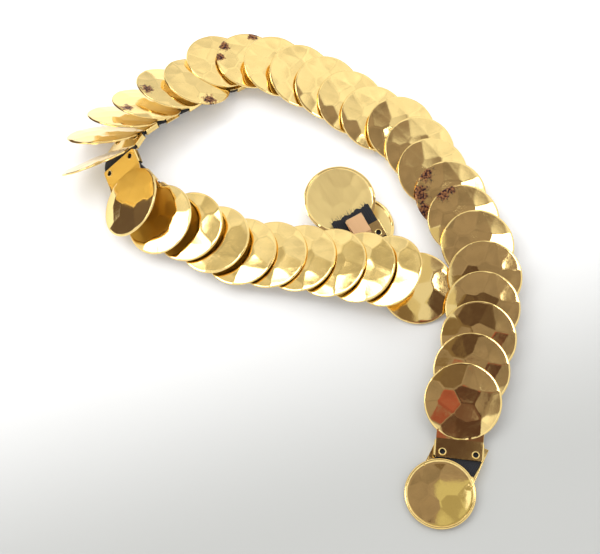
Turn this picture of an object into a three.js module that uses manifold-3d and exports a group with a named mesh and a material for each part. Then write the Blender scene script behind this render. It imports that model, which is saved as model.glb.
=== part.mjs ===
// Coin belt: hammered brass discs crimped along a black elastic band, lying open on a table.
// Every disc is one stamping: a round plate with its edge turned back, and a square neck whose two
// sides wrap round the edges of the band. Each disc lies over the neck of the next. At one end is a
// buckle disc that carries a tray for the band's end, and at the other a plain disc with a hook on
// its back, folded under the belt.
// Millimetres, +Z up. The table is z = 0, and the origin is the middle of the belt's box, on the table.

import * as THREE from "three";
import { mergeVertices } from "three/addons/utils/BufferGeometryUtils.js";
import Module from "manifold-3d";

// ---------------------------------------------------------------- driving dimensions

const gap = 0.3;                 // air between pieces that touch on the real belt
const sheet = 0.7;               // brass sheet with its plating
const discRadius = 19;
const discSides = 24;
const rimDepth = 0.6;            // how far the turned edge stands behind the sheet
const rimWidth = 1.4;
const rimFrom = 7;               // behind this, measured from the disc's middle, the edge is plain
const discBend = 14;             // degrees that a disc is bent out of the plane of its neck

const bandWidth = 22.2;          // seven eighths of an inch
const bandThickness = 1.6;

const crimpLength = 10;          // part of the neck that wraps the band
const crimpTab = 7.2;            // how far each wrapped side reaches across the back
const bendAt = 4.7;              // from the middle of the crimp to the bend of the neck
const neckReach = 5.6;           // how far the neck runs on into the disc past the bend
const cornerCut = 1.2;           // clipped corner of the neck's end

const bandHalf = bandWidth / 2;
const bandTop = bandThickness / 2;
const neckFace = bandTop + gap;              // inner face of the neck, above the band's middle
const neckTop = neckFace + sheet;
const neckInside = bandHalf + gap;
const neckHalf = neckInside + sheet;
const crimpHalf = crimpLength / 2;

// ---------------------------------------------------------------- where the band runs

// One row for each disc, in order from the buckle, placed at the middle of its crimp. lift is how
// far the crimp's lowest edge stands above the table. The angles are in degrees: lean is how far
// the band tips outwards, turn is how far the crimp is turned from the line between its
// neighbours, and bend is added to the disc's own bend where it is pushed up by the next one. The
// first and last rows carry no disc: they give the band's direction at its ends.
const belt = [
  { x: 76.2, y: -110.1, lift: 1.14, lean: 0 },
  { x: 76.6, y: -95.3, lift: 1.02, lean: 0, bend: 3 },
  { x: 79.9, y: -78.6, lift: 0.14, lean: 0, bend: 3.5 },
  { x: 83.7, y: -61.2, lift: 0.15, lean: 0.2, turn: -0.7, bend: 2.7 },
  { x: 87.6, y: -44.2, lift: 0.4, lean: 0.1 },
  { x: 90.8, y: -27.3, lift: 0.8, lean: 0, turn: -1.7, bend: 1.6 },
  { x: 92.3, y: -8.9, lift: 0.8, lean: 0.2 },
  { x: 90.4, y: 6.7, lift: 0.5, lean: -1, turn: 1, bend: 2 },
  { x: 86.4, y: 22.2, lift: 0.3, lean: -1.3, turn: -1.5, bend: 2.3 },
  { x: 80.3, y: 37.9, lift: 0.1, lean: 0, turn: 1.2, bend: 1.9 },
  { x: 73.9, y: 52.2, lift: 0.03, lean: 0, turn: -1.9 },
  { x: 67, y: 66.1, lift: 0, lean: 0, turn: -1.4, bend: 3.2 },
  { x: 57.4, y: 77.6, lift: 0.06, lean: 0, turn: 2, bend: 1.1 },
  { x: 45.4, y: 88.4, lift: 0.3, lean: 0, bend: 0.9 },
  { x: 33.6, y: 98.3, lift: 0.8, lean: 0, turn: 1, bend: 2.4 },
  { x: 20.6, y: 107.5, lift: 1.85, lean: 1.1, turn: 3, bend: 2.9 },
  { x: 7.3, y: 115.3, lift: 1.85, lean: 4, turn: 2.8, bend: 2.4 },
  { x: -6.4, y: 122.3, lift: 1.42, lean: 6.9, turn: 5.9, bend: -1.7 },
  { x: -21.7, y: 129.9, lift: 0.19, lean: 7.6, turn: 6.3, bend: 1.5 },
  { x: -38.2, y: 126, lift: 1.07, lean: 4, turn: 12.7, bend: 8.8 },
  { x: -51.8, y: 118.1, lift: 0.5, lean: 11.8, turn: -1.7, bend: 9.1 },
  { x: -65.2, y: 108.2, lift: 0.49, lean: 18.7, turn: 0.6, bend: 10.5 },
  { x: -76.1, y: 97.6, lift: 0.46, lean: 28.8, turn: -4.8, bend: 9.9 },
  { x: -86.5, y: 88.1, lift: 0.36, lean: 35.2, turn: -9.5, bend: 7.4 },
  { x: -93.3, y: 74.7, lift: 0.56, lean: 42.7, turn: -10.4, bend: 11.1 },
  { x: -93.8, y: 58.2, lift: 3.46, lean: 38.7, turn: 8, bend: -0.9 },
  { x: -86.1, y: 46.9, lift: 2.71, lean: 26.4, turn: -0.7, bend: 6.7 },
  { x: -75.7, y: 39, lift: 1.89, lean: 18.3, bend: 5.2 },
  { x: -62.7, y: 30.9, lift: 1.16, lean: 12.4, turn: -1.4, bend: 4.1 },
  { x: -50.3, y: 23, lift: 0.66, lean: 8.9, turn: -1.6 },
  { x: -36.6, y: 16.8, lift: 0.62, lean: 5.8, turn: 1.2 },
  { x: -21.9, y: 12.4, lift: 0.76, lean: 4.9, bend: 0.5 },
  { x: -6.1, y: 8.7, lift: 0.77, lean: 7.4, turn: -1.3, bend: 1.4 },
  { x: 9.6, y: 5.4, lift: 0.94, lean: 11.5, turn: -1.2, bend: 3.7 },
  { x: 23.5, y: 2, lift: 2.19, lean: 12.1, bend: 8.4 },
  { x: 37.8, y: -1, lift: 2.34, lean: 12.3, bend: -1 },
  { x: 52.1, y: -6.5, lift: -4.17, lean: 0.1 },
];
const tail = [
  { x: 47.5, y: -7, lift: 0.31, lean: 180 },
  { x: 41.8, y: 7.7, lift: 0.59, lean: 179, bend: -6 },
  { x: 32.8, y: 20.7, lift: 3.23, lean: 176, bend: -6 },
  { x: 26, y: 34, lift: 10.1, lean: 180 },
];

// The band's own axes at every disc of a table: x along the belt away from the buckle, y to its
// left, z out of its front.
function clipFrames(rows) {
  const points = rows.map(({ x, y, lift, lean }) => {
    const angle = THREE.MathUtils.degToRad(lean);
    const height = neckTop * Math.abs(Math.cos(angle)) + neckHalf * Math.abs(Math.sin(angle));
    return new THREE.Vector3(x, y, lift + height);
  });
  return rows.slice(1, -1).map(({ lean, turn = 0 }, i) => {
    const forward = points[i + 2].clone().sub(points[i]).normalize();
    forward.applyAxisAngle(new THREE.Vector3(0, 0, 1), THREE.MathUtils.degToRad(turn));
    const left = new THREE.Vector3(0, 0, 1).cross(forward).normalize();
    const front = forward.clone().cross(left);
    left.applyAxisAngle(forward, THREE.MathUtils.degToRad(lean));
    front.applyAxisAngle(forward, THREE.MathUtils.degToRad(lean));
    return new THREE.Matrix4().makeBasis(forward, left, front).setPosition(points[i + 1]);
  });
}

// ---------------------------------------------------------------- solids

const wasm = await Module();
wasm.setup();

function toSolid(geometry) {
  const bare = geometry.index ? geometry.toNonIndexed() : geometry.clone();
  bare.deleteAttribute("normal");
  bare.deleteAttribute("uv");
  const merged = mergeVertices(bare, 1e-5);
  return new wasm.Manifold(new wasm.Mesh({
    numProp: 3,
    vertProperties: new Float32Array(merged.attributes.position.array),
    triVerts: new Uint32Array(merged.index.array),
  }));
}

function toGeometry(solid) {
  const mesh = solid.getMesh();
  const geometry = new THREE.BufferGeometry();
  geometry.setAttribute("position", new THREE.BufferAttribute(new Float32Array(mesh.vertProperties), 3));
  geometry.setIndex(new THREE.BufferAttribute(new Uint32Array(mesh.triVerts), 1));
  return geometry;
}

function box(x0, x1, y0, y1, z0, z1) {
  const geometry = new THREE.BoxGeometry(x1 - x0, y1 - y0, z1 - z0);
  geometry.translate((x0 + x1) / 2, (y0 + y1) / 2, (z0 + z1) / 2);
  return toSolid(geometry);
}

// A round plate about the z axis, from z = 0 to the sheet's thickness. Its edge is turned to the
// back where rimEnd is below zero, and to the front where it is above the sheet.
function roundPlate(radius, rimEnd) {
  const inside = radius - rimWidth;
  const profile = rimEnd < 0
    ? [[0, 0], [inside, 0], [inside, rimEnd], [radius, rimEnd], [radius, sheet], [0, sheet]]
    : [[0, 0], [radius, 0], [radius, rimEnd], [inside, rimEnd], [inside, sheet], [0, sheet]];
  const points = profile.map(([r, z]) => new THREE.Vector2(r, z));
  const geometry = new THREE.LatheGeometry(points, discSides);
  geometry.rotateX(Math.PI / 2);
  return toSolid(geometry);
}

// A straight run of one outline: points are [y, z] and the run goes from x0 to x1.
function extrudeAlongX(outline, x0, x1) {
  const shape = new THREE.Shape(outline.map(([y, z]) => new THREE.Vector2(y, z)));
  const geometry = new THREE.ExtrudeGeometry(shape, { depth: x1 - x0, bevelEnabled: false });
  geometry.applyMatrix4(new THREE.Matrix4().makeBasis(
    new THREE.Vector3(0, 1, 0), new THREE.Vector3(0, 0, 1), new THREE.Vector3(1, 0, 0)));
  geometry.translate(x0, 0, 0);
  return toSolid(geometry);
}

// ---------------------------------------------------------------- the stamped disc

// Two posts, turned corner on, that take the corners off the neck's free end.
function cornerCuts() {
  const half = 2 * cornerCut;
  const away = cornerCut * (2 * Math.SQRT2 - 1);
  const post = box(-half, half, -half, half, -neckTop - 1, neckTop + 1).rotate([0, 0, 45]);
  return post.translate([-crimpHalf - away, -neckHalf - away, 0])
    .add(post.translate([-crimpHalf - away, neckHalf + away, 0]));
}

// In the band's axes, with the middle of the crimp at the origin.
function stampedDisc(extraBend = 0) {
  const crimp = extrudeAlongX([
    [-neckHalf, neckTop], [-neckHalf, -neckTop], [-neckHalf + crimpTab, -neckTop],
    [-neckHalf + crimpTab, -neckFace], [-neckInside, -neckFace], [-neckInside, neckFace],
    [neckInside, neckFace], [neckInside, -neckFace], [neckHalf - crimpTab, -neckFace],
    [neckHalf - crimpTab, -neckTop], [neckHalf, -neckTop], [neckHalf, neckTop],
  ].reverse(), -crimpHalf, crimpHalf).subtract(cornerCuts());

  const plate = roundPlate(discRadius, -rimDepth)
    .subtract(box(-discRadius - 1, -rimFrom, -discRadius, discRadius, -2 * rimDepth, 0));
  const overlap = box(-discRadius, -discRadius + neckReach, -neckHalf, neckHalf, 0, sheet);
  const seat = 0.01;
  const lifted = plate.add(overlap)
    .translate([discRadius, 0, 0])
    .rotate([0, -discBend - extraBend, 0])
    .translate([bendAt, 0, neckFace + seat]);
  return toGeometry(crimp.add(lifted));
}

// ---------------------------------------------------------------- the buckle disc and its tray

const buckleRadius = 17.1;
const trayFloor = 0.8;
const trayFrom = 9;              // from the middle of the buckle disc
const trayWalls = [              // they stop where the first crimp crosses them
  { side: 1, end: 14.2 },
  { side: -1, end: 22.5 },
];
const trayEnd = 31;
const trayInside = neckInside + 0.5;
const trayHalf = trayInside + sheet;
const lipTab = 14;               // the disc's shoulders reach this far along the tray
const buckleTilt = 4.5;          // degrees
const buckleMouth = 3.7;         // under side of the disc above the table at its lip

function buckleDisc() {
  const plate = roundPlate(buckleRadius, sheet + rimDepth)
    .add(box(7, lipTab, -trayHalf, -trayHalf + 3, 0, sheet))
    .add(box(7, lipTab, trayHalf - 3, trayHalf, 0, sheet))
    .translate([-buckleRadius, 0, 0])
    .rotate([0, -buckleTilt, 0])
    .translate([buckleRadius, 0, buckleMouth]);
  const walls = trayWalls.map(({ side, end }) => {
    const inner = side * trayInside;
    const outer = side * trayHalf;
    return box(trayFrom, end, Math.min(inner, outer), Math.max(inner, outer), 0, buckleMouth + 0.6);
  });
  const floor = box(trayFrom, trayEnd, -trayHalf, trayHalf, 0, trayFloor);
  return toGeometry(plate.add(walls[0]).add(walls[1]).add(floor));
}

// ---------------------------------------------------------------- the hook

const hookWidth = 9.3;
const hookFold = 5.3;             // from the middle of the crimp
const hookTongue = 4.6;
const hookMouth = 1.7;
const hookSheet = 0.9;

function hookStrip() {
  const inner = -neckFace;
  const seatFace = inner - hookSheet;
  const underTongue = seatFace - hookMouth;
  const outer = underTongue - hookSheet;
  const bend = (inner + outer) / 2;
  const bendOuter = (inner - outer) / 2;
  const bendInner = hookMouth / 2;
  const shape = new THREE.Shape();
  shape.moveTo(-crimpHalf, inner);
  shape.lineTo(-crimpHalf, seatFace);
  shape.lineTo(hookFold, seatFace);
  shape.absarc(hookFold, bend, bendInner, Math.PI / 2, -Math.PI / 2, true);
  shape.lineTo(hookFold - hookTongue, underTongue);
  shape.lineTo(hookFold - hookTongue, outer);
  shape.lineTo(hookFold, outer);
  shape.absarc(hookFold, bend, bendOuter, -Math.PI / 2, Math.PI / 2, false);
  const geometry = new THREE.ExtrudeGeometry(shape, {
    depth: hookWidth, bevelEnabled: false, curveSegments: 6,
  });
  geometry.translate(0, 0, -hookWidth / 2);
  geometry.rotateX(Math.PI / 2);
  return toGeometry(toSolid(geometry));
}

// ---------------------------------------------------------------- the band

// A flat strip through cross sections, each a frame with y across the band and z out of its front.
function strip(frames) {
  const corners = [[-bandHalf, -bandTop], [bandHalf, -bandTop], [bandHalf, bandTop], [-bandHalf, bandTop]];
  const positions = [];
  for (const frame of frames) {
    for (const [y, z] of corners) {
      positions.push(...new THREE.Vector3(0, y, z).applyMatrix4(frame).toArray());
    }
  }
  const index = [0, 2, 1, 0, 3, 2];
  for (let i = 0; i + 1 < frames.length; i += 1) {
    for (let k = 0; k < 4; k += 1) {
      const a = i * 4 + k;
      const b = i * 4 + (k + 1) % 4;
      index.push(a, b, b + 4, a, b + 4, a + 4);
    }
  }
  const end = (frames.length - 1) * 4;
  index.push(end, end + 1, end + 2, end, end + 2, end + 3);
  const geometry = new THREE.BufferGeometry();
  geometry.setAttribute("position", new THREE.Float32BufferAttribute(positions, 3));
  geometry.setIndex(index);
  return geometry;
}

function shifted(frame, x, z = 0) {
  return frame.clone().multiply(new THREE.Matrix4().makeTranslation(x, 0, z));
}

function hermite(start, startSlope, end, endSlope, u) {
  const u2 = u * u;
  const u3 = u2 * u;
  return (2 * u3 - 3 * u2 + 1) * start + (u3 - 2 * u2 + u) * startSlope
    + (3 * u2 - 2 * u3) * end + (u3 - u2) * endSlope;
}

// The free band between two crimps: a smooth curve that leaves and enters them straight. A longer
// reach swings it wider.
function between(from, to, steps, reach) {
  const axes = (frame) => {
    const x = new THREE.Vector3();
    const y = new THREE.Vector3();
    const z = new THREE.Vector3();
    frame.extractBasis(x, y, z);
    return { x, y, at: new THREE.Vector3().setFromMatrixPosition(frame) };
  };
  const a = axes(from);
  const b = axes(to);
  const pointAt = (u) => new THREE.Vector3(...["x", "y", "z"].map((k) => (
    hermite(a.at[k], a.x[k] * reach, b.at[k], b.x[k] * reach, u))));
  const frames = [];
  for (let i = 1; i < steps; i += 1) {
    const u = i / steps;
    const forward = pointAt(u + 0.02).sub(pointAt(u - 0.02)).normalize();
    const left = a.y.clone().lerp(b.y, u).normalize();
    const front = forward.clone().cross(left).normalize();
    frames.push(new THREE.Matrix4().makeBasis(forward, left, front).setPosition(pointAt(u)));
  }
  return frames;
}

// ---------------------------------------------------------------- the belt

const discCount = 36;
const lastOnTop = 35;
const brass = new THREE.MeshStandardMaterial({ color: 0xd9b35f, roughness: 0.18, metalness: 1 });
const elastic = new THREE.MeshStandardMaterial({ color: 0x202228, roughness: 0.9, metalness: 0 });

const coinBelt = new THREE.Group();

function addPiece(name, geometry, material, frame) {
  const mesh = new THREE.Mesh(geometry, material);
  mesh.name = name;
  if (frame) {
    frame.decompose(mesh.position, mesh.quaternion, mesh.scale);
  }
  coinBelt.add(mesh);
  return mesh;
}

const frames = [...clipFrames(belt), ...clipFrames(tail)];
const frameOf = (clip) => frames[clip - 1];
const rowOf = (clip) => (clip > lastOnTop ? tail[clip - lastOnTop] : belt[clip]);
const twoDigits = (n) => String(n).padStart(2, "0");

for (let clip = 1; clip <= discCount; clip += 1) {
  addPiece(`disc_${twoDigits(clip)}`, stampedDisc(rowOf(clip).bend), brass, frameOf(clip));
}
const hookClip = discCount + 1;
addPiece("hook_disc", stampedDisc(rowOf(hookClip).bend), brass, frameOf(hookClip));
addPiece("hook", hookStrip(), brass, frameOf(hookClip));

// The buckle's own axes: x from its disc towards the belt.
const buckleHeading = THREE.MathUtils.degToRad(64);
const buckleAt = new THREE.Vector3(66.5, -116.8, 0);
const buckleFrame = new THREE.Matrix4().makeRotationZ(buckleHeading).setPosition(buckleAt);
addPiece("buckle_disc", buckleDisc(), brass, buckleFrame);

// The band, cut where its stretches meet inside a crimp.
const inCrimp = crimpHalf + 0.2;
const bandEndInBuckle = 9;
const bandLeavesTray = 14;
const bandInTray = trayFloor + gap + bandTop;
const sharpBendAfter = 24;       // the band turns sharply past this disc
const sharpBendReach = 7.3;
const stretches = [
  { name: "band_right_run", from: 1, to: 6 },
  { name: "band_right_bend", from: 6, to: 12 },
  { name: "band_top_run", from: 12, to: 18 },
  { name: "band_left_bend_a", from: 18, to: 23 },
  { name: "band_left_bend_b", from: 23, to: 26 },
  { name: "band_front_run", from: 26, to: 31 },
  { name: "band_front_end", from: 31, to: 35 },
];

for (const stretch of stretches) {
  const sections = [];
  if (stretch.from === 1) {
    sections.push(shifted(buckleFrame, bandEndInBuckle, bandInTray));
    sections.push(shifted(buckleFrame, bandLeavesTray, bandInTray));
    sections.push(shifted(frameOf(1), -inCrimp));
  } else {
    sections.push(shifted(frameOf(stretch.from), gap / 2));
  }
  let front = shifted(frameOf(stretch.from), inCrimp);
  sections.push(front);
  for (let clip = stretch.from + 1; clip <= stretch.to; clip += 1) {
    const rear = shifted(frameOf(clip), -inCrimp);
    if (clip - 1 === sharpBendAfter) {
      sections.push(...between(front, rear, 4, sharpBendReach));
    }
    front = shifted(frameOf(clip), clip === stretch.to ? -gap / 2 : inCrimp);
    sections.push(rear, front);
  }
  addPiece(stretch.name, strip(sections), elastic);
}

const foldStart = shifted(frameOf(lastOnTop), inCrimp);
const foldEnd = shifted(frameOf(lastOnTop + 1), -inCrimp);
const foldReach = 22;
addPiece("band_fold", strip([
  shifted(frameOf(lastOnTop), gap / 2), foldStart,
  ...between(foldStart, foldEnd, 10, foldReach),
  foldEnd, shifted(frameOf(lastOnTop + 1), -gap / 2),
]), elastic);

const bandTailEnd = 14;          // the cut end lies on the back of the last disc
const tailStart = shifted(frameOf(lastOnTop + 1), inCrimp);
const tailCrimp = shifted(frameOf(hookClip), -inCrimp);
addPiece("band_tail", strip([
  shifted(frameOf(lastOnTop + 1), gap / 2), tailStart, tailCrimp,
  shifted(frameOf(hookClip), bandTailEnd),
]), elastic);

// The belt's box is 239 by 284 mm, and its middle comes to the origin.
const boxMiddle = new THREE.Vector3(-6.05, 8.1, 0);
coinBelt.position.copy(boxMiddle).negate();

export default coinBelt;
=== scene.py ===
import math
import random
from collections import namedtuple

import bmesh
import bpy
from mathutils import Matrix, Quaternion, Vector


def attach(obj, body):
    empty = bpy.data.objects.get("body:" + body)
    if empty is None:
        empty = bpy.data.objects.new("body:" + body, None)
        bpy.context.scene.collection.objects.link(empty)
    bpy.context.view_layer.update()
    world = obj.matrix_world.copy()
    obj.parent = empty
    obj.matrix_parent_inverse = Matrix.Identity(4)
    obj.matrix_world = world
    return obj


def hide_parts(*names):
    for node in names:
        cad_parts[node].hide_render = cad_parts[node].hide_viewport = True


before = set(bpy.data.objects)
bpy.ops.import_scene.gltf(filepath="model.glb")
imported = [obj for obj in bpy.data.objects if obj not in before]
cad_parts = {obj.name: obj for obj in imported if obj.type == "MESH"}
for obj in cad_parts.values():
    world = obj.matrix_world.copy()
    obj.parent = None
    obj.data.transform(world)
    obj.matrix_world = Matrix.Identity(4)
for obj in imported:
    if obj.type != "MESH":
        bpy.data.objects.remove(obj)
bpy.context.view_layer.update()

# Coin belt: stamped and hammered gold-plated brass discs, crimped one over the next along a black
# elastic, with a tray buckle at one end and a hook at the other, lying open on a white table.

bpy.ops.object.select_all(action="DESELECT")
mm = 0.001


# ---------------------------------------------------------------- camera
# A portrait lens looks down on the belt at 63 degrees, aimed a little to the right of its middle.

aim = Vector((6.05, -8.1, 0)) * mm
camera_distance = 648.6 * mm
camera_pitch = math.radians(63)
lens_mm = 75

bpy.ops.object.camera_add(
    location=aim + camera_distance * Vector((0, -math.cos(camera_pitch), math.sin(camera_pitch))),
    rotation=(math.pi / 2 - camera_pitch, 0, 0),
)
camera = bpy.context.object
camera.data.lens = lens_mm
camera.data.clip_start = 0.01
bpy.context.scene.camera = camera
bpy.context.scene.view_settings.view_transform = "Standard"


# ---------------------------------------------------------------- table and studio
# A sheet of white paper under a light tent. Polished metal shows its surroundings, so the tent has
# what a mirror sees there: bright walls, a dim gap at the top, small lamps, and cards close by.


def srgb(hex_colour):
    """A colour written as #RRGGBB, as the linear RGBA that a shader takes."""
    parts = [int(hex_colour[i:i + 2], 16) / 255 for i in (1, 3, 5)]
    return (*[c / 12.92 if c <= 0.04045 else ((c + 0.055) / 1.055) ** 2.4 for c in parts], 1.0)


def add_node(tree, kind, sockets, **settings):
    """Adds a node, sets its properties, and fills its sockets with values or with other sockets."""
    node = tree.nodes.new(kind)
    for name, value in settings.items():
        setattr(node, name, value)
    for name, value in sockets.items():
        if isinstance(value, bpy.types.NodeSocket):
            tree.links.new(value, node.inputs[name])
        else:
            node.inputs[name].default_value = value
    return node


def new_material(name):
    """An empty material with its output node, and the tree that the output is in."""
    material = bpy.data.materials.new(name)
    material.use_nodes = True
    tree = material.node_tree
    tree.nodes.clear()
    return material, tree, tree.nodes.new("ShaderNodeOutputMaterial")


def direction(azimuth, elevation):
    """The way that an azimuth from +X towards +Y and an elevation point, in degrees."""
    a = math.radians(azimuth)
    e = math.radians(elevation)
    return Vector((math.cos(e) * math.cos(a), math.cos(e) * math.sin(a), math.sin(e)))


# The tent's walls are white, with a strength of 1. Each row lays a round patch over them and over
# the rows before it. Where it is, its radius and the softness of its edge are in degrees.
Patch = namedtuple("Patch", "azimuth elevation radius softness colour strength")
tent_patches = [
    Patch(45, 52, 28, 20, "#FFFFFF", 1.13),
    Patch(95, 2, 30, 20, "#FFFFFF", 0.87),
    Patch(-60, 88, 20, 3, "#FFEAE3", 0.34),
    Patch(146, 54, 9, 5, "#FFF8E6", 0.7),
    Patch(158, 66, 7, 2, "#FFFFFF", 6.0),
    Patch(175, 43, 11, 2, "#FFFFFF", 6.0),
]

world = bpy.data.worlds.new("light_tent")
world.use_nodes = True
bpy.context.scene.world = world
tent = world.node_tree
tent.nodes.clear()
seen = add_node(tent, "ShaderNodeTexCoord", {}).outputs["Generated"]
shade = add_node(tent, "ShaderNodeRGB", {}).outputs[0]
shade.default_value = srgb("#FFFFFF")
for patch in tent_patches:
    centre = direction(patch.azimuth, patch.elevation)
    facing = add_node(tent, "ShaderNodeVectorMath", {0: seen, 1: centre}, operation="DOT_PRODUCT")
    inside = add_node(tent, "ShaderNodeMapRange", {
        "Value": facing.outputs["Value"],
        "From Min": math.cos(math.radians(patch.radius + patch.softness)),
        "From Max": math.cos(math.radians(patch.radius - patch.softness)),
    }, interpolation_type="SMOOTHSTEP")
    colour = [c * patch.strength for c in srgb(patch.colour)[:3]] + [1]
    layer = add_node(tent, "ShaderNodeMix", {0: inside.outputs[0], 6: shade, 7: colour},
                     data_type="RGBA")
    shade = layer.outputs[2]
folds = add_node(tent, "ShaderNodeTexNoise", {"Vector": seen, "Scale": 8.0, "Detail": 2.0})
slack = add_node(tent, "ShaderNodeMapRange", {
    "Value": folds.outputs[0], "From Min": 0.35, "From Max": 0.65, "To Min": 0.78, "To Max": 1.24})
background = add_node(tent, "ShaderNodeBackground", {"Color": shade, "Strength": slack.outputs[0]})
add_node(tent, "ShaderNodeOutputWorld", {"Surface": background.outputs[0]})

# Matt paper, a little mottled and almost without a highlight. Its near side is painted shade: a
# grey laid into its own colour across the table, standing for the light's falloff, not made by the
# lights.
paper, tree, output = new_material("matt_white_paper")
place = add_node(tree, "ShaderNodeTexCoord", {})
mottle = add_node(tree, "ShaderNodeTexNoise",
                  {"Vector": place.outputs["Object"], "Scale": 9.0, "Detail": 2.0})
tone = add_node(tree, "ShaderNodeMix", {
    0: mottle.outputs[0], 6: srgb("#EFEFEE"), 7: srgb("#F3F3F3")}, data_type="RGBA")
# Painted shade: the paper's colour greys towards the near side of the table.
away = add_node(tree, "ShaderNodeVectorMath", {0: place.outputs["Object"], 1: (-0.3, 1, 0)},
                operation="DOT_PRODUCT")
near_side_painted_shade = add_node(tree, "ShaderNodeMapRange", {
    "Value": away.outputs["Value"], "From Min": 0.06, "From Max": -0.15},
    interpolation_type="SMOOTHSTEP")
shaded = add_node(tree, "ShaderNodeMix", {
    0: near_side_painted_shade.outputs[0], 6: tone.outputs[2], 7: srgb("#A1A29F")}, data_type="RGBA")
# The paper's faint glow of its own is painted light, which lifts every shadow on it.
paper_shader = add_node(tree, "ShaderNodeBsdfPrincipled", {
    "Base Color": shaded.outputs[2], "Roughness": 0.7, "Specular IOR Level": 0.3,
    "Emission Color": srgb("#FFFFFF"), "Emission Strength": 0.12})
tree.links.new(paper_shader.outputs[0], output.inputs["Surface"])

bpy.ops.mesh.primitive_plane_add(size=4, location=(0, 0, -0.1 * mm))
table = bpy.context.object
table.name = "paper_table"
table.data.materials.append(paper)

# The lamp over the far side shades the paper under the belt, and the metal doesn't show it.
bpy.ops.object.light_add(type="AREA", location=(-0.05, 0.4, 0.8))
key_light = bpy.context.object
key_light.data.shape = "RECTANGLE"
key_light.data.size = 1.3
key_light.data.size_y = 1.1
key_light.data.energy = 4.5
key_light.rotation_euler = Vector((-0.05, 0.3, 0.8)).to_track_quat("Z", "Y").to_euler()
key_light.visible_glossy = False

# What stands close to the belt, each seen only as a reflection in the metal. Flat ones hang over
# it, and an upright one faces the azimuth in its row. Places and sizes are in millimetres, and
# grain is how many blotches a card's two colours make in a metre.
Card = namedtuple("Card", "name x y z width height colours strength faces grain",
                  defaults=(None, 14))
near_cards = [
    Card("camera_stand", 130, -164, 300, 60, 128, ("#5A423E", "#745853"), 1.0),
    Card("red_strap", 66, -142, 300, 50, 44, ("#AE645E", "#9E5852"), 1.0),
    Card("red_sleeve", 142, -94, 296, 40, 16, ("#AE645E", "#7A4A44"), 1.0),
    Card("stand_arm", 102, -38, 150, 40, 32, ("#5E4B44", "#6E5D54"), 1.0),
    Card("stand_foot", 106, -205, 298, 88, 60, ("#5A423E", "#745853"), 1.0),
    Card("tan_arm", 70, -48, 152, 50, 44, ("#7C6A5C", "#86745F"), 1.0),
    Card("white_bounce", 71, -12, 40, 17, 56, ("#FFFFFF", "#EFE8D4"), 0.85, None, 60),
    Card("cream_bounce", 83, -125, 40, 20, 24, ("#D6D3B2", "#B5AE90"), 1.0, None, 110),
    Card("cream_edge", 91, -121, 39, 3, 22, ("#FFFFFF", "#FFFFFF"), 1.4),
    Card("right_soft_box", 318, 16, 600, 118, 134, ("#FFFFFF", "#FFFFFF"), 6.0),
    Card("black_flag", -158, 94, 25, 120, 90, ("#695A55", "#7A6A62"), 1.0, 143),
]
for card in near_cards:
    bpy.ops.mesh.primitive_plane_add(size=1, location=Vector((card.x, card.y, card.z)) * mm)
    panel = bpy.context.object
    panel.name = card.name
    panel.scale = (card.width * mm, card.height * mm, 1)
    if card.faces is not None:
        panel.rotation_euler = (math.pi / 2, 0, math.radians(card.faces + 90))
    bpy.ops.object.transform_apply(location=True, rotation=True, scale=True)
    glow, tree, output = new_material(card.name)
    place = add_node(tree, "ShaderNodeTexCoord", {})
    cloudy = add_node(tree, "ShaderNodeTexNoise", {
        "Vector": place.outputs["Object"], "Scale": card.grain, "Detail": 1.0})
    split = add_node(tree, "ShaderNodeMapRange", {
        "Value": cloudy.outputs[0], "From Min": 0.48, "From Max": 0.56})
    tone = add_node(tree, "ShaderNodeMix", {
        0: split.outputs[0], 6: srgb(card.colours[0]), 7: srgb(card.colours[1])}, data_type="RGBA")
    light = add_node(tree, "ShaderNodeEmission", {
        "Color": tone.outputs[2], "Strength": card.strength})
    tree.links.new(light.outputs[0], output.inputs["Surface"])
    panel.data.materials.append(glow)
    panel.visible_camera = False
    panel.visible_diffuse = False
    panel.visible_shadow = False


# ---------------------------------------------------------------- how the belt lies
# The elastic runs through the crimped neck of every disc, so one row for each crimp gives the whole
# lie of the belt: round in an open loop, then folded under itself to the hook disc.

gap = 0.3 * mm
sheet = 0.7 * mm
band_width = 22.2 * mm
band_thickness = 1.6 * mm
neck_face = band_thickness / 2 + gap
neck_top = neck_face + sheet
neck_half = band_width / 2 + gap + sheet
box_middle = Vector((-6.05, 8.1, 0))    # of the whole outline, which the frame has at its origin
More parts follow.
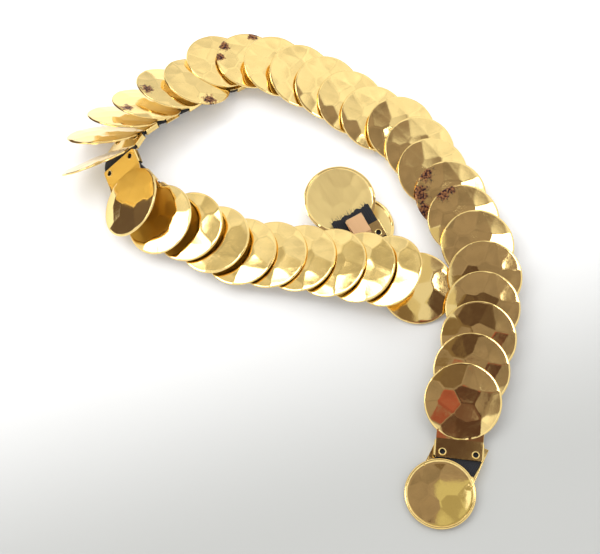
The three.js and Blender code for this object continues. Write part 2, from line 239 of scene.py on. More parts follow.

# x, y and lift are in millimetres, and lean, turn and bend in degrees. lift is the height of the
# crimp's lowest edge, lean tips it outwards, and bend is added to the disc's own bend. The rows of
# belt weren't chosen by hand: a least-squares program fitted them, and they were then rounded and
# adjusted. So this table isn't one to copy as an example.
Crimp = namedtuple("Crimp", "x y lift lean turn bend", defaults=(0, 0, 0))
belt = [Crimp(*row) for row in [
    (76.2, -110.1, 1.14, 0),
    (76.6, -95.3, 1.02, 0, 0, 3),
    (79.9, -78.6, 0.14, 0, 0, 3.5),
    (83.7, -61.2, 0.15, 0.2, -0.7, 2.7),
    (87.6, -44.2, 0.4, 0.1),
    (90.8, -27.3, 0.8, 0, -1.7, 1.6),
    (92.3, -8.9, 0.8, 0.2),
    (90.4, 6.7, 0.5, -1, 1, 2),
    (86.4, 22.2, 0.3, -1.3, -1.5, 2.3),
    (80.3, 37.9, 0.1, 0, 1.2, 1.9),
    (73.9, 52.2, 0.03, 0, -1.9),
    (67, 66.1, 0, 0, -1.4, 3.2),
    (57.4, 77.6, 0.06, 0, 2, 1.1),
    (45.4, 88.4, 0.3, 0, 0, 0.9),
    (33.6, 98.3, 0.8, 0, 1, 2.4),
    (20.6, 107.5, 1.85, 1.1, 3, 2.9),
    (7.3, 115.3, 1.85, 4, 2.8, 2.4),
    (-6.4, 122.3, 1.42, 6.9, 5.9, -1.7),
    (-21.7, 129.9, 0.19, 7.6, 6.3, 1.5),
    (-38.2, 126, 1.07, 4, 12.7, 8.8),
    (-51.8, 118.1, 0.5, 11.8, -1.7, 9.1),
    (-65.2, 108.2, 0.49, 18.7, 0.6, 10.5),
    (-76.1, 97.6, 0.46, 28.8, -4.8, 9.9),
    (-86.5, 88.1, 0.36, 35.2, -9.5, 7.4),
    (-93.3, 74.7, 0.56, 42.7, -10.4, 11.1),
    (-93.8, 58.2, 3.46, 38.7, 8, -0.9),
    (-86.1, 46.9, 2.71, 26.4, -0.7, 6.7),
    (-75.7, 39, 1.89, 18.3, 0, 5.2),
    (-62.7, 30.9, 1.16, 12.4, -1.4, 4.1),
    (-50.3, 23, 0.66, 8.9, -1.6),
    (-36.6, 16.8, 0.62, 5.8, 1.2),
    (-21.9, 12.4, 0.76, 4.9, 0, 0.5),
    (-6.1, 8.7, 0.77, 7.4, -1.3, 1.4),
    (9.6, 5.4, 0.94, 11.5, -1.2, 3.7),
    (23.5, 2, 2.19, 12.1, 0, 8.4),
    (37.8, -1, 2.34, 12.3, 0, -1),
    (52.1, -6.5, -4.17, 0.1),
]]
tail = [Crimp(*row) for row in [
    (47.5, -7, 0.31, 180),
    (41.8, 7.7, 0.59, 179, 0, -6),
    (32.8, 20.7, 3.23, 176, 0, -6),
    (26, 34, 10.1, 180),
]]


def crimp_frames(rows):
    """The axes of each crimp: x along the belt from the buckle, y to its left, z out of its front.

    The first and last rows only give the direction of the crimps beside them."""
    points = []
    for row in rows:
        lean = math.radians(row.lean)
        middle = neck_top * abs(math.cos(lean)) + neck_half * abs(math.sin(lean))
        foot = (Vector((row.x, row.y, row.lift)) - box_middle) * mm
        points.append(foot + Vector((0, 0, middle)))
    frames = []
    for before, here, after, row in zip(points, points[1:], points[2:], rows[1:]):
        forward = (after - before).normalized()
        forward.rotate(Quaternion((0, 0, 1), math.radians(row.turn)))
        left = Vector((0, 0, 1)).cross(forward).normalized()
        front = forward.cross(left)
        for axis in (left, front):
            axis.rotate(Quaternion(forward, math.radians(row.lean)))
        turned = Matrix((forward, left, front)).transposed().to_4x4()
        frames.append(Matrix.Translation(here) @ turned)
    return frames


crimps = [*belt[1:-1], *tail[1:-1]]
crimp_axes = [*crimp_frames(belt), *crimp_frames(tail)]


# ---------------------------------------------------------------- elastic
# One length of black woven elastic, seven eighths of an inch wide. It runs flat through every neck,
# turns sharply past disc 24 and folds under past disc 35, and its cut end has begun to fray.

crimp_half = 5 * mm
in_crimp = crimp_half + 0.2 * mm
sharp_bend_after = 24
sharp_bend_reach = 7.3 * mm
fold_after = 35
fold_reach = 22 * mm
tail_step = 3 * mm
cut_end = 14 * mm
buckle_heading = math.radians(64)
tray_floor = 0.8 * mm
band_starts_in_tray = 9 * mm
band_leaves_tray = 14 * mm
buckle_place = Vector((66.5, -116.8, 0)) - box_middle
buckle_axes = Matrix.Translation(buckle_place * mm) @ Matrix.Rotation(buckle_heading, 4, "Z")


def moved(axes, x, z=0):
    """The same axes, further along the belt."""
    return axes @ Matrix.Translation((x, 0, z))


def apply_modifier(piece, kind, **settings):
    """Gives a piece a modifier with these settings, and applies it."""
    modifier = piece.modifiers.new(kind.lower(), kind)
    for name, value in settings.items():
        setattr(modifier, name, value)
    bpy.context.view_layer.objects.active = piece
    bpy.ops.object.modifier_apply(modifier=modifier.name)


def free_stretch(start, end, steps, reach):
    """Axes along a smooth curve that leaves one crimp and enters the next one straight."""
    out = start.col[0].xyz * reach
    back = end.col[0].xyz * reach
    a = start.translation
    b = end.translation
    near = 0.02                         # of the stretch, each way from where its direction is taken

    def point(u):
        return ((2 * u**3 - 3 * u**2 + 1) * a + (u**3 - 2 * u**2 + u) * out
                + (3 * u**2 - 2 * u**3) * b + (u**3 - u**2) * back)

    frames = []
    for i in range(1, steps):
        u = i / steps
        forward = (point(u + near) - point(u - near)).normalized()
        left = start.col[1].xyz.lerp(end.col[1].xyz, u).normalized()
        front = forward.cross(left).normalized()
        turned = Matrix((forward, left, front)).transposed().to_4x4()
        frames.append(Matrix.Translation(point(u)) @ turned)
    return frames


band_height_in_tray = tray_floor + gap + band_thickness / 2
band_line = [moved(buckle_axes, band_starts_in_tray, band_height_in_tray),
             moved(buckle_axes, band_leaves_tray, band_height_in_tray)]
for number, axes in enumerate(crimp_axes, 1):
    enters = moved(axes, -in_crimp)
    leaves = moved(axes, in_crimp)
    if number == sharp_bend_after + 1:
        band_line += free_stretch(band_line[-1], enters, 8, sharp_bend_reach)
    elif number == fold_after + 1:
        band_line += free_stretch(band_line[-1], enters, 24, fold_reach)
    elif number > 1:
        apart = (enters.translation - band_line[-1].translation).length
        band_line += free_stretch(band_line[-1], enters, 3, apart)
    band_line += [enters, leaves]
band_line += [moved(crimp_axes[-1], crimp_half + step * tail_step) for step in (1, 2)]
band_line.append(moved(crimp_axes[-1], cut_end))

columns = 24
selvedge_round = 0.35 * mm
fray = random.Random(7)
cut_edge = [(0.5 * math.sin(0.9 * column) + fray.uniform(-0.5, 0.3)) * mm
            for column in range(columns + 1)]
points = []
for row, axes in enumerate(band_line):
    for column in range(columns + 1):
        y = (column / columns - 0.5) * band_width
        x = cut_edge[column] if row == len(band_line) - 1 else 0
        points.append(axes @ Vector((x, y, 0)))
faces = []
for row in range(len(band_line) - 1):
    for column in range(columns):
        a = row * (columns + 1) + column
        faces.append((a, a + columns + 1, a + columns + 2, a + 1))
run = [0.0]
for before, after in zip(band_line, band_line[1:]):
    run.append(run[-1] + (after.translation - before.translation).length)

woven = bpy.data.meshes.new("elastic_band")
woven.from_pydata(points, [], faces)
across_and_along = woven.uv_layers.new(name="thread")
for loop in woven.loops:
    row, column = divmod(loop.vertex_index, columns + 1)
    across_and_along.data[loop.index].uv = (column / columns * band_width / mm, run[row] / mm)
band = bpy.data.objects.new("elastic_band", woven)
bpy.context.collection.objects.link(band)
band.select_set(True)
apply_modifier(band, "SOLIDIFY", thickness=band_thickness, offset=0)
apply_modifier(band, "BEVEL", width=selvedge_round, segments=2, limit_method="ANGLE",
               angle_limit=math.radians(60))
bpy.ops.object.shade_smooth_by_angle(angle=math.radians(50))

# Black polyester over rubber: ribs run lengthwise, one for each warp cord, and the weft crosses
# them. It is matt, with a faint bluish sheen on the ribs.
elastic, tree, output = new_material("woven_polyester_elastic")
rib_pitch_mm = 1.1
weft_pitch_mm = 0.7
wave_period = 0.314                     # of a wave texture at scale 1
thread = add_node(tree, "ShaderNodeUVMap", {}, uv_map="thread")
ribs = add_node(tree, "ShaderNodeTexWave", {
    "Vector": thread.outputs[0], "Scale": wave_period / rib_pitch_mm, "Distortion": 0.4,
}, bands_direction="X")
weft = add_node(tree, "ShaderNodeTexWave", {
    "Vector": thread.outputs[0], "Scale": wave_period / weft_pitch_mm, "Distortion": 0.6,
}, bands_direction="Y")
weave = add_node(tree, "ShaderNodeMix", {0: 0.4, 2: ribs.outputs["Fac"], 3: weft.outputs["Fac"]})
threads_colour = add_node(tree, "ShaderNodeMix", {
    0: weave.outputs[0], 6: srgb("#0F1014"), 7: srgb("#222329")}, data_type="RGBA")
relief = add_node(tree, "ShaderNodeBump", {
    "Height": weave.outputs[0], "Strength": 0.6, "Distance": 0.2 * mm})
cloth = add_node(tree, "ShaderNodeBsdfPrincipled", {
    "Base Color": threads_colour.outputs[2], "Roughness": 0.75, "Sheen Weight": 0.15,
    "Specular IOR Level": 0.3, "Normal": relief.outputs[0]})
tree.links.new(cloth.outputs[0], output.inputs["Surface"])
woven.materials.append(elastic)

# Cut threads stand out of the raw end, rooted in it. Each is one thin strip, bent a little to one
# side and thinner at its tip.
loose_threads = 26
rooted = 1.2 * mm
threads_mesh = bpy.data.meshes.new("frayed_threads")
shape = bmesh.new()
for _ in range(loose_threads):
    y = fray.uniform(-0.49, 0.49) * band_width
    long_by = fray.uniform(0.8, 2.6) * mm
    side_by = fray.uniform(-0.7, 0.7) * mm
    z = fray.uniform(-0.3, 0.6) * band_thickness
    half = fray.uniform(0.07, 0.14) * mm
    sections = []
    for u in (0, 0.5, 1):
        centre = Vector((-rooted + u * (long_by + rooted), y + side_by * u * u, z + 0.2 * mm * u))
        corners = [(0, half, -half), (0, half, half), (0, -half, half), (0, -half, -half)]
        thin = 1 - 0.5 * u
        sections.append([shape.verts.new(band_line[-1] @ (centre + thin * Vector(corner)))
                         for corner in corners])
    for first, second in zip(sections, sections[1:]):
        for i in range(4):
            shape.faces.new((first[i], first[i - 1], second[i - 1], second[i]))
    shape.faces.new(sections[0])
    shape.faces.new(sections[-1][::-1])
bmesh.ops.recalc_face_normals(shape, faces=shape.faces)
shape.to_mesh(threads_mesh)
shape.free()
threads = bpy.data.objects.new("frayed_threads", threads_mesh)
bpy.context.collection.objects.link(threads)

# Cut polyester yarn is matt, and its loose filaments catch a little more light than the weave.
raw_yarn, tree, output = new_material("cut_polyester_yarn")
place = add_node(tree, "ShaderNodeTexCoord", {})
yarn = add_node(tree, "ShaderNodeTexNoise", {"Vector": place.outputs["Object"], "Scale": 900.0})
yarn_colour = add_node(tree, "ShaderNodeMix", {
    0: yarn.outputs[0], 6: srgb("#15161B"), 7: srgb("#4A4640")}, data_type="RGBA")
yarn_shader = add_node(tree, "ShaderNodeBsdfPrincipled", {
    "Base Color": yarn_colour.outputs[2], "Roughness": 0.8, "Sheen Weight": 0.2})
tree.links.new(yarn_shader.outputs[0], output.inputs["Surface"])
threads_mesh.materials.append(raw_yarn)
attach(threads, "root")

band_nodes = [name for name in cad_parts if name.startswith("band_")]
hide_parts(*band_nodes)
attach(band, "root")
band.select_set(False)


# ---------------------------------------------------------------- stamped disc
# Blanked from thin brass, domed and hammered in one die, with its edge turned back. The square neck
# is wrapped round the elastic, and two eyelets pin it. Every disc comes from the same die.

disc_radius = 19 * mm
hammered_radius = 18.6 * mm
back_radius = 17 * mm
rolled_radius = 17.4 * mm               # inside this the back keeps its rolled finish
dome_height = 1.0 * mm
disc_rings = 24
blow_radius = 170 * mm                  # of the hammer's round face
plain_back_from = -7 * mm               # behind this, from the disc's middle, no edge is turned
disc_bend = math.radians(14)
bend_line = 4.7 * mm
neck_reach = 5.6 * mm
crimp_tab = 7.2 * mm
eyelet_at = Vector((-2.2, 8, 0)) * mm

# The hammer's blows in the die, in millimetres from the disc's middle, with x away from the neck.
# rise and side tip the blow's face further out than the dome does, in degrees.
Blow = namedtuple("Blow", "x y rise side")
die_blows = [Blow(*row) for row in [
    (-2.2, 8.6, -0.5, 1.0),
    (2.4, -0.8, -1.0, 0.5),
    (-6.2, -3.6, 0.5, -1.5),
    (-2.1, -10.6, -1.5, 0.5),
    (9.6, -6.2, -2.0, 0.5),
    (9.4, 4.2, -2.5, -0.5),
    (14.2, -1.6, 2.0, 1.0),
    (12.4, 10.6, 0, 2.5),
    (4.2, 14.4, 1.0, -1.5),
    (-5.6, 17.2, 0, 1.5),
    (-11.2, 10.3, -2.5, 0),
    (-9.8, 2.6, 2.0, 1.5),
    (-16.4, 3.2, -2.5, -1.0),
    (-13.2, -7.4, 1.0, -2.5),
    (-7.4, -14.2, 0, 2.0),
    (2.6, -17.4, 2.5, -1.0),
    (8.3, -13.2, -2.0, -1.5),
    (15.6, -9.8, 1.5, -1.0),
    (20.5, 4.8, -2.0, 1.0),
    (17.6, 12.2, 1.5, -2.0),
    (1.2, 20.8, -1.0, -2.0),
    (-14.6, 16.4, 1.0, 2.0),
    (-20.8, -3.0, 1.5, 1.0),
    (-15.8, -15.0, -1.0, -1.0),
    (-3.6, -21.2, 1.0, -2.0),
    (14.0, -17.0, 1.0, -1.0),
]]


def hammered(x, y, blows, radius, height):
    """The dome's surface as the blows leave it: each leaves a shallow bowl, with ridges between."""
    lowest = 1
    for blow in blows:
        bx = blow.x * mm
        by = blow.y * mm
        slope_x = -2 * height * bx / radius**2 + math.radians(blow.rise)
        slope_y = -2 * height * by / radius**2 + math.radians(blow.side)
        away = (x - bx) ** 2 + (y - by) ** 2
        middle = height * (1 - (bx * bx + by * by) / radius**2)
        bowl = middle + slope_x * (x - bx) + slope_y * (y - by)
        lowest = min(lowest, bowl + away / (2 * blow_radius))
    return lowest


def round_sheet(name, reach, rings, blows, radius, height):
    """A disc of small triangles in even rings, domed and hammered, with its edge at zero."""
    bpy.ops.mesh.primitive_circle_add(vertices=6, radius=reach, fill_type="TRIFAN")
    plate = bpy.context.object
    plate.name = name
    bpy.ops.object.mode_set(mode="EDIT")
    bpy.ops.mesh.subdivide(number_cuts=rings - 1)
    bpy.ops.object.mode_set(mode="OBJECT")
    sixth = math.pi / 3
    for vertex in plate.data.vertices:
        x, y, z = vertex.co
        past_side = (math.atan2(y, x) + sixth / 2) % sixth - sixth / 2
        stretch = math.cos(past_side) / math.cos(sixth / 2)
        x *= stretch
        y *= stretch
        vertex.co = (x, y, hammered(x, y, blows, radius, height))
    return plate


def turn_edge(plate, back, profile):
    """Lifts the front by one sheet, carries its edge through the profile, and joins it to the back.

    The profile starts at the front's edge, and its last row faces the back's edge."""
    plate.data.transform(Matrix.Translation((0, 0, sheet)))
    back.data.flip_normals()
    back.select_set(False)
    bpy.context.view_layer.objects.active = plate
    plate.select_set(True)
    bpy.ops.object.mode_set(mode="EDIT")
    bpy.ops.mesh.select_mode(type="EDGE")
    bpy.ops.mesh.select_all(action="DESELECT")
    bpy.ops.mesh.select_non_manifold(extend=False)
    for last, turn in zip(profile, profile[1:]):
        grow = turn.radius / last.radius
        bpy.ops.mesh.extrude_edges_move()
        bpy.ops.transform.resize(value=(grow, grow, 1), center_override=(0, 0, 0))
        bpy.ops.transform.translate(value=(0, 0, turn.height - last.height))
    bpy.ops.object.mode_set(mode="OBJECT")
    back.select_set(True)
    bpy.ops.object.join()
    bpy.ops.object.mode_set(mode="EDIT")
    bpy.ops.mesh.select_all(action="DESELECT")
    bpy.ops.mesh.select_non_manifold(extend=False)
    bpy.ops.mesh.bridge_edge_loops()
    bpy.ops.mesh.select_all(action="SELECT")
    bpy.ops.mesh.normals_make_consistent(inside=False)
    bpy.ops.mesh.select_all(action="DESELECT")
    bpy.ops.object.mode_set(mode="OBJECT")


def join_into(piece, other, operation="UNION"):
    """Joins another solid to a piece, or cuts it away, and removes the other one."""
    apply_modifier(piece, "BOOLEAN", operation=operation, solver="EXACT", object=other)
    bpy.data.objects.remove(other)


# The rolled edge in millimetres, from the front's rim, round and under, to where the back begins.
Turn = namedtuple("Turn", "radius height")
turned_back = [Turn(radius * mm, height * mm) for radius, height in [
    (18.6, 0.7),
    (18.8, 0.58),
    (18.94, 0.36),
    (19.0, -0.04),
    (18.93, -0.2),
    (18.7, -0.33),
    (18.35, -0.4),
    (17.95, -0.38),
    (17.7, -0.27),
    (17.55, -0.08),
    (17.3, 0.05),
]]
stamping = round_sheet(
    "stamping", hammered_radius, disc_rings, die_blows, hammered_radius, dome_height)
plain_side = round_sheet("back", back_radius, disc_rings, die_blows, hammered_radius, dome_height)
turn_edge(stamping, plain_side, turned_back)
for vertex in stamping.data.vertices:
    if vertex.co.x < plain_back_from:
        vertex.co.z = max(vertex.co.z, 0)
tilt = (Matrix.Translation((bend_line, 0, neck_face)) @ Matrix.Rotation(-disc_bend, 4, "Y")
        @ Matrix.Translation((disc_radius, 0, 0)))
stamping.data.transform(tilt)
untilt = tilt.inverted()

# The neck: a channel round the elastic, open at the back between its two tabs, and carried on
# into the disc.
corner_cut = 1.2 * mm
corner_round = 0.9 * mm
neck_end = crimp_half - 1.2 * mm        # the wrapped sides stop short of the bend
tab_edge = neck_half - crimp_tab
same_place = 1e-6                       # in metres: nearer than this, a corner lies on a plane


def pick(kind, test):
    """In edit mode, selects the vertices, edges or faces that a test takes, and nothing else."""
    bpy.ops.mesh.select_mode(type=kind)
    bpy.ops.mesh.select_all(action="DESELECT")
    shape = bmesh.from_edit_mesh(bpy.context.object.data)
    for part in {"VERT": shape.verts, "EDGE": shape.edges, "FACE": shape.faces}[kind]:
        part.select_set(test(part))
    shape.select_flush_mode()
    bmesh.update_edit_mesh(bpy.context.object.data)


def cut_across(place, normal, clear_outer=False):
    """Cuts the whole mesh along a plane, and can take away what lies past it."""
    bpy.ops.mesh.select_all(action="SELECT")
    bpy.ops.mesh.bisect(plane_co=place, plane_no=normal, clear_outer=clear_outer)


def runs_along_corner(edge):
    """True for a long edge where the neck turns down or in."""
    a, b = [vertex.co for vertex in edge.verts]
    return abs(a.x - b.x) > mm and all(abs(abs(p.y) - neck_half) < same_place for p in (a, b))


def runs_across(place):
    """A test for an edge that crosses the belt at a place along it."""
    return lambda edge: all(abs(vertex.co.x - place) < same_place for vertex in edge.verts)


bpy.ops.mesh.primitive_cube_add(size=1, location=((bend_line - crimp_half) / 2, 0, 0),
                                scale=(crimp_half + bend_line, 2 * neck_half, 2 * neck_top))
bpy.ops.object.transform_apply(location=True, scale=True)
neck = bpy.context.object
bpy.ops.object.mode_set(mode="EDIT")
pick("FACE", lambda face: abs(face.normal.x) > 0.9)
bpy.ops.mesh.delete(type="FACE")
for side in (-1, 1):
    cut_across((0, side * tab_edge, 0), (0, side, 0))
pick("FACE", lambda face: face.normal.z < -0.9 and abs(face.calc_center_median().y) < tab_edge)
bpy.ops.mesh.delete(type="FACE")
pick("EDGE", runs_along_corner)
bpy.ops.mesh.bevel(offset=corner_round, segments=5, profile=0.5, affect="EDGES")
cut_across((neck_end, 0, 0), (1, 0, 0))
pick("FACE", lambda face: face.calc_center_median().x > neck_end and face.normal.z < 0.9)
bpy.ops.mesh.delete(type="FACE")
pick("EDGE", runs_across(bend_line))
bpy.ops.mesh.extrude_edges_move()
bpy.ops.transform.translate(
    value=(neck_reach * math.cos(disc_bend), 0, neck_reach * math.sin(disc_bend)))
for side in (-1, 1):
    cut_across((corner_cut - crimp_half, side * neck_half, 0), (-1, side, 0), clear_outer=True)
bpy.ops.object.mode_set(mode="OBJECT")
apply_modifier(neck, "SOLIDIFY", thickness=sheet, offset=-1, use_even_offset=True)
join_into(stamping, neck)

# Holes for the eyelets, in the face and in the tabs, each with the eyelet's rolled flange round it.
# The flanges behind are pressed into the tabs.
hole_radius = 1.35 * mm
flange_radius = 0.32 * mm
flange_levels = (neck_top + 0.05 * mm, -neck_top + 0.24 * mm)
places = [(eyelet_at.x, side * eyelet_at.y) for side in (-1, 1)]
for x, y in places:
    bpy.ops.mesh.primitive_cylinder_add(
        vertices=24, radius=hole_radius, depth=3 * neck_top, location=(x, y, 0))
    join_into(stamping, bpy.context.object, "DIFFERENCE")
flanges = []
for x, y in places:
    for level in flange_levels:
        bpy.ops.mesh.primitive_torus_add(
            location=(x, y, level), major_segments=24, minor_segments=8,
            major_radius=hole_radius + flange_radius - 0.05 * mm, minor_radius=flange_radius)
        flanges.append(bpy.context.object)

# The front is polished, and smeared a little where hands have been. The map lies flat on the
# stamping in millimetres, so a noise scale of 0.12 makes patches of 8 mm, and 0.75 makes specks.
polished, tree, output = new_material("gold_plated_brass_polished")
flat_map = add_node(tree, "ShaderNodeUVMap", {}, uv_map="flat")
plating = add_node(tree, "ShaderNodeTexNoise", {
    "Vector": flat_map.outputs[0], "Scale": 0.12, "Detail": 3.0, "Roughness": 0.5})
gold = add_node(tree, "ShaderNodeMix", {
    0: plating.outputs[0], 6: srgb("#F7DA93"), 7: srgb("#F4D58B")}, data_type="RGBA")
pits = add_node(tree, "ShaderNodeTexNoise", {
    "Vector": flat_map.outputs[0], "Scale": 0.75, "Detail": 4.0, "Roughness": 0.6})
worn = add_node(tree, "ShaderNodeMapRange", {
    "Value": pits.outputs[0], "From Min": 0.70, "From Max": 0.76}, interpolation_type="SMOOTHSTEP")
spotted = add_node(tree, "ShaderNodeMix", {
    0: worn.outputs[0], 6: gold.outputs[2], 7: srgb("#8A5A34")}, data_type="RGBA")
handling = add_node(tree, "ShaderNodeTexNoise", {
    "Vector": flat_map.outputs[0], "Scale": 0.3, "Detail": 5.0, "Roughness": 0.65})
smear = add_node(tree, "ShaderNodeMapRange", {
    "Value": handling.outputs[0], "From Min": 0.35, "From Max": 0.75,
    "To Min": 0.05, "To Max": 0.13})
ripple = add_node(tree, "ShaderNodeTexNoise", {
    "Vector": flat_map.outputs[0], "Scale": 0.45, "Detail": 1.0})
waves = add_node(tree, "ShaderNodeBump", {
    "Height": ripple.outputs[0], "Strength": 1.0, "Distance": 0.012 * mm})

# Where the plating has worn through, the metal has gone dark and mottled: most of it near an edge.
# Each row gives the disc and the place, in millimetres from the disc's middle.
Tarnish = namedtuple("Tarnish", "disc x y radius")
tarnished = [Tarnish(*row) for row in [
    (7, 15, 8, 8),
    (7, 17, 3, 6),
    (8, 14.5, 10, 9),
    (8, 5, 16.5, 10),
    (8, -5, 17, 9),
    (17, 16, -1, 6),
    (17, 15, 7, 5),
    (17, 5, -16.5, 6),
    (19, 2, 16, 7),
    (20, 14, 0, 6.5),
    (21, 14, 3, 6),
]]
map_step = 53                           # in millimetres, between one disc's map and the next one's
map_middle = (bend_line + disc_radius * math.cos(disc_bend)) / mm
eaten = 0.0
for spot in tarnished:
    centre = (map_step * spot.disc + map_middle + spot.x, spot.y, 0)
    away = add_node(tree, "ShaderNodeVectorMath", {0: flat_map.outputs[0], 1: centre},
                    operation="DISTANCE")
    close = add_node(tree, "ShaderNodeMapRange", {
        "Value": away.outputs["Value"], "From Min": spot.radius, "From Max": 0.0})
    eaten = add_node(tree, "ShaderNodeMath", {0: eaten, 1: close.outputs[0]},
                     operation="MAXIMUM").outputs[0]
blotches = add_node(tree, "ShaderNodeTexNoise", {
    "Vector": flat_map.outputs[0], "Scale": 0.42, "Detail": 5.0, "Roughness": 0.7})
depth = add_node(tree, "ShaderNodeMath", {0: blotches.outputs[0], 1: 1.6, 2: eaten},
                 operation="MULTIPLY_ADD")
bare = add_node(tree, "ShaderNodeMapRange", {
    "Value": depth.outputs[0], "From Min": 1.2, "From Max": 1.4})
mottling = add_node(tree, "ShaderNodeTexNoise", {
    "Vector": flat_map.outputs[0], "Scale": 0.8, "Detail": 2.0})
patchy = add_node(tree, "ShaderNodeMapRange", {
    "Value": mottling.outputs[0], "From Min": 0.42, "From Max": 0.6})
darkened = add_node(tree, "ShaderNodeMix", {
    0: patchy.outputs[0], 6: srgb("#33232D"), 7: srgb("#B07A50")}, data_type="RGBA")
colour = add_node(tree, "ShaderNodeMix", {
    0: bare.outputs[0], 6: spotted.outputs[2], 7: darkened.outputs[2]}, data_type="RGBA")
dull = add_node(tree, "ShaderNodeMix", {0: bare.outputs[0], 2: smear.outputs[0], 3: 0.35})
shine = add_node(tree, "ShaderNodeBsdfPrincipled", {
    "Base Color": colour.outputs[2], "Metallic": 1.0, "Roughness": dull.outputs[0],
    "Normal": waves.outputs[0]})
tree.links.new(shine.outputs[0], output.inputs["Surface"])

# The back keeps the lines of the rolled sheet, which run along the belt and spread its highlights.
rolled, tree, output = new_material("gold_plated_brass_rolled")
flat_map = add_node(tree, "ShaderNodeUVMap", {}, uv_map="flat")
drawn_out = add_node(tree, "ShaderNodeMapping", {
    "Vector": flat_map.outputs[0], "Scale": (0.06, 0.5, 1)})
lines = add_node(tree, "ShaderNodeTexNoise", {
    "Vector": drawn_out.outputs[0], "Scale": 1.0, "Detail": 4.0, "Roughness": 0.6})
gold = add_node(tree, "ShaderNodeMix", {
    0: lines.outputs[0], 6: srgb("#E1C785"), 7: srgb("#E8D08D")}, data_type="RGBA")
satin = add_node(tree, "ShaderNodeMapRange", {
    "Value": lines.outputs[0], "From Min": 0.3, "From Max": 0.7, "To Min": 0.36, "To Max": 0.44})
scores = add_node(tree, "ShaderNodeBump", {
    "Height": lines.outputs[0], "Strength": 0.5, "Distance": 0.008 * mm})
sheen = add_node(tree, "ShaderNodeBsdfPrincipled", {
    "Base Color": gold.outputs[2], "Metallic": 1.0, "Roughness": satin.outputs[0],
    "Normal": scores.outputs[0]})
tree.links.new(sheen.outputs[0], output.inputs["Surface"])


def finish_brass(piece, back, creases=lambda ends: False):
    """Lays the flat map on a brass piece, gives its back the rolled finish, and smooths it.

    back takes a face, and creases takes the two ends of an edge that may stay sharp."""
    mesh = piece.data
    mesh.materials.clear()
    mesh.materials.append(polished)
    mesh.materials.append(rolled)
    flat = mesh.uv_layers.new(name="flat")
    for loop in mesh.loops:
        x, y, z = mesh.vertices[loop.vertex_index].co
        flat.data[loop.index].uv = (x / mm, y / mm)
    for face in mesh.polygons:
        face.material_index = 1 if back(face) else 0
    bpy.ops.object.select_all(action="DESELECT")
    piece.select_set(True)
    bpy.context.view_layer.objects.active = piece
    bpy.ops.object.shade_smooth_by_angle(angle=math.radians(32))
    for edge in mesh.edges:
        if creases([mesh.vertices[i].co for i in edge.vertices]):
            edge.use_edge_sharp = True
    apply_modifier(piece, "WEIGHTED_NORMAL", keep_sharp=True)


bpy.ops.object.select_all(action="DESELECT")
for flange in flanges:
    flange.select_set(True)
stamping.select_set(True)
bpy.context.view_layer.objects.active = stamping
bpy.ops.object.join()


def is_rolled(face):
    """True for a face of the stamping's back, inside the turned edge."""
    return face.normal.z < -0.8 and (untilt @ face.center).xy.length < rolled_radius


def at_the_bend(ends):
    """True for an edge where the front of the neck bends up into the disc."""
    return all(abs(p.x - bend_line) < 0.05 * mm and p.z > neck_face for p in ends)


finish_brass(stamping, back=is_rolled, creases=at_the_bend)

# One copy for each crimp, bent on at the neck as its row says, with its own part of the map.
hinge = Matrix.Translation((bend_line, 0, neck_face))
for number, (crimp, axes) in enumerate(zip(crimps, crimp_axes), 1):
    disc = stamping.copy()
    disc.data = stamping.data.copy()
    node = f"disc_{number:02d}" if number < len(crimps) else "hook_disc"
    disc.name = f"coin_{number:02d}"
    bpy.context.collection.objects.link(disc)
    more = hinge @ Matrix.Rotation(-math.radians(crimp.bend), 4, "Y") @ hinge.inverted()
    for vertex in disc.data.vertices:
        if vertex.co.x > bend_line:
            vertex.co = more @ vertex.co
    disc.data.transform(axes)
    flat = disc.data.uv_layers["flat"].data
    for loop in flat:
        loop.uv = (loop.uv[0] + map_step * number, loop.uv[1])
    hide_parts(node)
    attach(disc, "root")
bpy.data.objects.remove(stamping)


# ---------------------------------------------------------------- buckle
# A disc with its rim turned up and two square shoulders. A flat tray is soldered under it, open at
# its far end, which takes the end of the elastic between two low walls.

buckle_radius = 17.1 * mm
buckle_field = 15.1 * mm
buckle_back = 16.4 * mm
buckle_dome = 0.25 * mm
buckle_rings = 20
tray_from = 9 * mm
tray_end = 31 * mm
tray_inside = band_width / 2 + gap + 0.5 * mm
tray_half = tray_inside + sheet
tray_walls = [(1, 14.2 * mm), (-1, 22.5 * mm)]      # the side that each is on, and where it ends
shoulder_from = 7 * mm
shoulder_to = 14 * mm
shoulder_width = 3 * mm
buckle_tilt = math.radians(4.5)
buckle_mouth = 3.7 * mm
buckle_blows = [Blow(*row) for row in [
    (0, 1, -0.6, 0.4),
    (9.5, -1.5, -2.2, 0.6),
    (4.5, -9.5, -1.2, -2.2),
    (-5.5, -9, -1.8, -0.8),
    (-9, 0.5, -0.6, -0.2),
    (-5, 9.5, -0.5, -0.2),
    (5.5, 9, -0.6, -0.3),
    (13, -8, -1.2, -1.3),
    (14, 6, -0.9, -0.2),
    (0, -15, -2.2, -1.2),
    (-14, -7, -1.4, -0.5),
    (-14, 9, -0.6, -0.1),
    (0, 16, -0.5, 0.2),
]]
turned_up = [Turn(radius * mm, height * mm) for radius, height in [
    (15.1, 0.7),
    (15.5, 0.74),
    (15.75, 0.95),
    (15.95, 1.18),
    (16.25, 1.3),
    (16.6, 1.28),
    (16.9, 1.12),
    (17.06, 0.85),
    (17.1, 0.4),
    (17.04, 0.14),
    (16.85, 0),
]]
buckle = round_sheet(
    "buckle", buckle_field, buckle_rings, buckle_blows, buckle_field, buckle_dome)
under_side = round_sheet(
    "back", buckle_back, buckle_rings, buckle_blows, buckle_field, buckle_dome)
for vertex in under_side.data.vertices:
    vertex.co.z = 0                     # the die under the buckle is flat
turn_edge(buckle, under_side, turned_up)


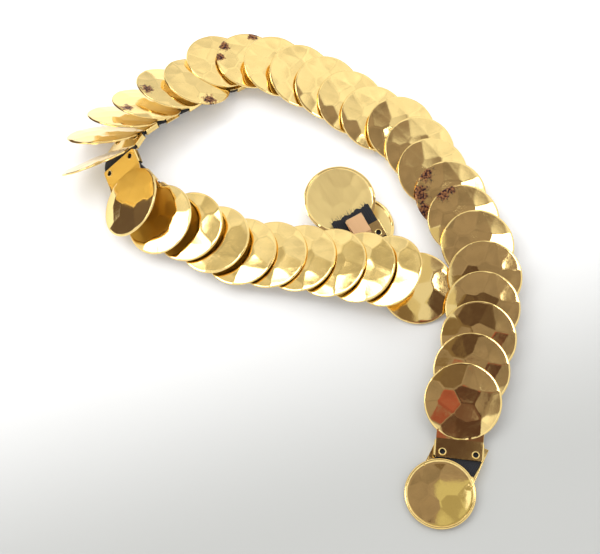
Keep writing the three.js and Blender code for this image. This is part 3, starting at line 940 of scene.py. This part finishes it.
def add_block(low, high, edge_round):
    """A block between two corners, with its edges rounded."""
    low = Vector(low)
    high = Vector(high)
    bpy.ops.mesh.primitive_cube_add(size=1, location=(low + high) / 2, scale=high - low)
    bpy.ops.object.transform_apply(location=True, scale=True)
    block = bpy.context.object
    bpy.ops.object.mode_set(mode="EDIT")
    bpy.ops.mesh.select_all(action="SELECT")
    bpy.ops.mesh.bevel(offset=edge_round, segments=2, affect="EDGES")
    bpy.ops.object.mode_set(mode="OBJECT")
    return block


# Each block stops a hair short of the faces that it would share, so that the solids join cleanly.
shoulder_bottom = 0.02 * mm
shoulder_round = 0.15 * mm
wall_bottom = 0.05 * mm
wall_top = buckle_mouth + 0.6 * mm
wall_inset = 0.03 * mm
tray_round = 0.12 * mm
for side in (-1, 1):
    inner = side * (tray_half - shoulder_width)
    outer = side * tray_half
    join_into(buckle, add_block((shoulder_from, min(inner, outer), shoulder_bottom),
                                (shoulder_to, max(inner, outer), sheet), shoulder_round))
buckle.data.transform(
    Matrix.Translation((buckle_radius, 0, buckle_mouth)) @ Matrix.Rotation(-buckle_tilt, 4, "Y")
    @ Matrix.Translation((-buckle_radius, 0, 0)))
tray = add_block((tray_from, -tray_half, 0), (tray_end, tray_half, tray_floor), tray_round)
for side, wall_end in tray_walls:
    inner = side * tray_inside
    outer = side * (tray_half - wall_inset)
    join_into(tray, add_block((tray_from + wall_inset, min(inner, outer), wall_bottom),
                              (wall_end, max(inner, outer), wall_top), tray_round))
join_into(buckle, tray)
finish_brass(buckle, back=lambda face: face.normal.z < -0.8)
buckle.data.transform(buckle_axes)
buckle.name = "buckle_with_tray"
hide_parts("buckle_disc")
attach(buckle, "root")


# ---------------------------------------------------------------- hook
# A strip of heavier brass between the last neck's tabs, turned back on itself. Its tongue slips
# under the buckle's rim to close the belt.

hook_width = 9.3 * mm
hook_fold = 5.3 * mm
hook_tongue = 4.6 * mm
hook_mouth = 1.7 * mm
hook_sheet = 0.9 * mm
hook_round = 0.18 * mm
hook_level = -neck_face - hook_sheet / 2
turn_radius = (hook_mouth + hook_sheet) / 2

bpy.ops.mesh.primitive_plane_add(size=1, location=((hook_fold - crimp_half) / 2, 0, hook_level))
hook = bpy.context.object
hook.name = "hook_strip"
hook.scale = (hook_fold + crimp_half, hook_width, 1)
bpy.ops.object.transform_apply(location=True, scale=True)
bpy.ops.object.mode_set(mode="EDIT")
pick("EDGE", runs_across(hook_fold))
bpy.ops.mesh.spin(steps=10, angle=math.pi, center=(hook_fold, 0, hook_level - turn_radius),
                  axis=(0, 1, 0))
bpy.ops.mesh.extrude_edges_move()
bpy.ops.transform.translate(value=(-hook_tongue, 0, 0))
bpy.ops.mesh.select_all(action="SELECT")
bpy.ops.mesh.remove_doubles(threshold=0.001 * mm)
bpy.ops.mesh.normals_make_consistent(inside=False)
bpy.ops.object.mode_set(mode="OBJECT")
apply_modifier(hook, "SOLIDIFY", thickness=hook_sheet, offset=0, use_even_offset=True)
apply_modifier(hook, "BEVEL", width=hook_round, segments=2, limit_method="ANGLE",
               angle_limit=math.radians(60))
finish_brass(hook, back=lambda face: True)

# The hook has the same rolled finish under a warmer plating, a pale copper.
rose = rolled.copy()
rose.name = "rose_plated_brass"
tint = rose.node_tree.nodes[gold.name]
tint.inputs[6].default_value = srgb("#E8BC8C")
tint.inputs[7].default_value = srgb("#F0C696")
hook.data.materials[1] = rose

hook.data.transform(crimp_axes[-1])
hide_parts("hook")
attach(hook, "root")
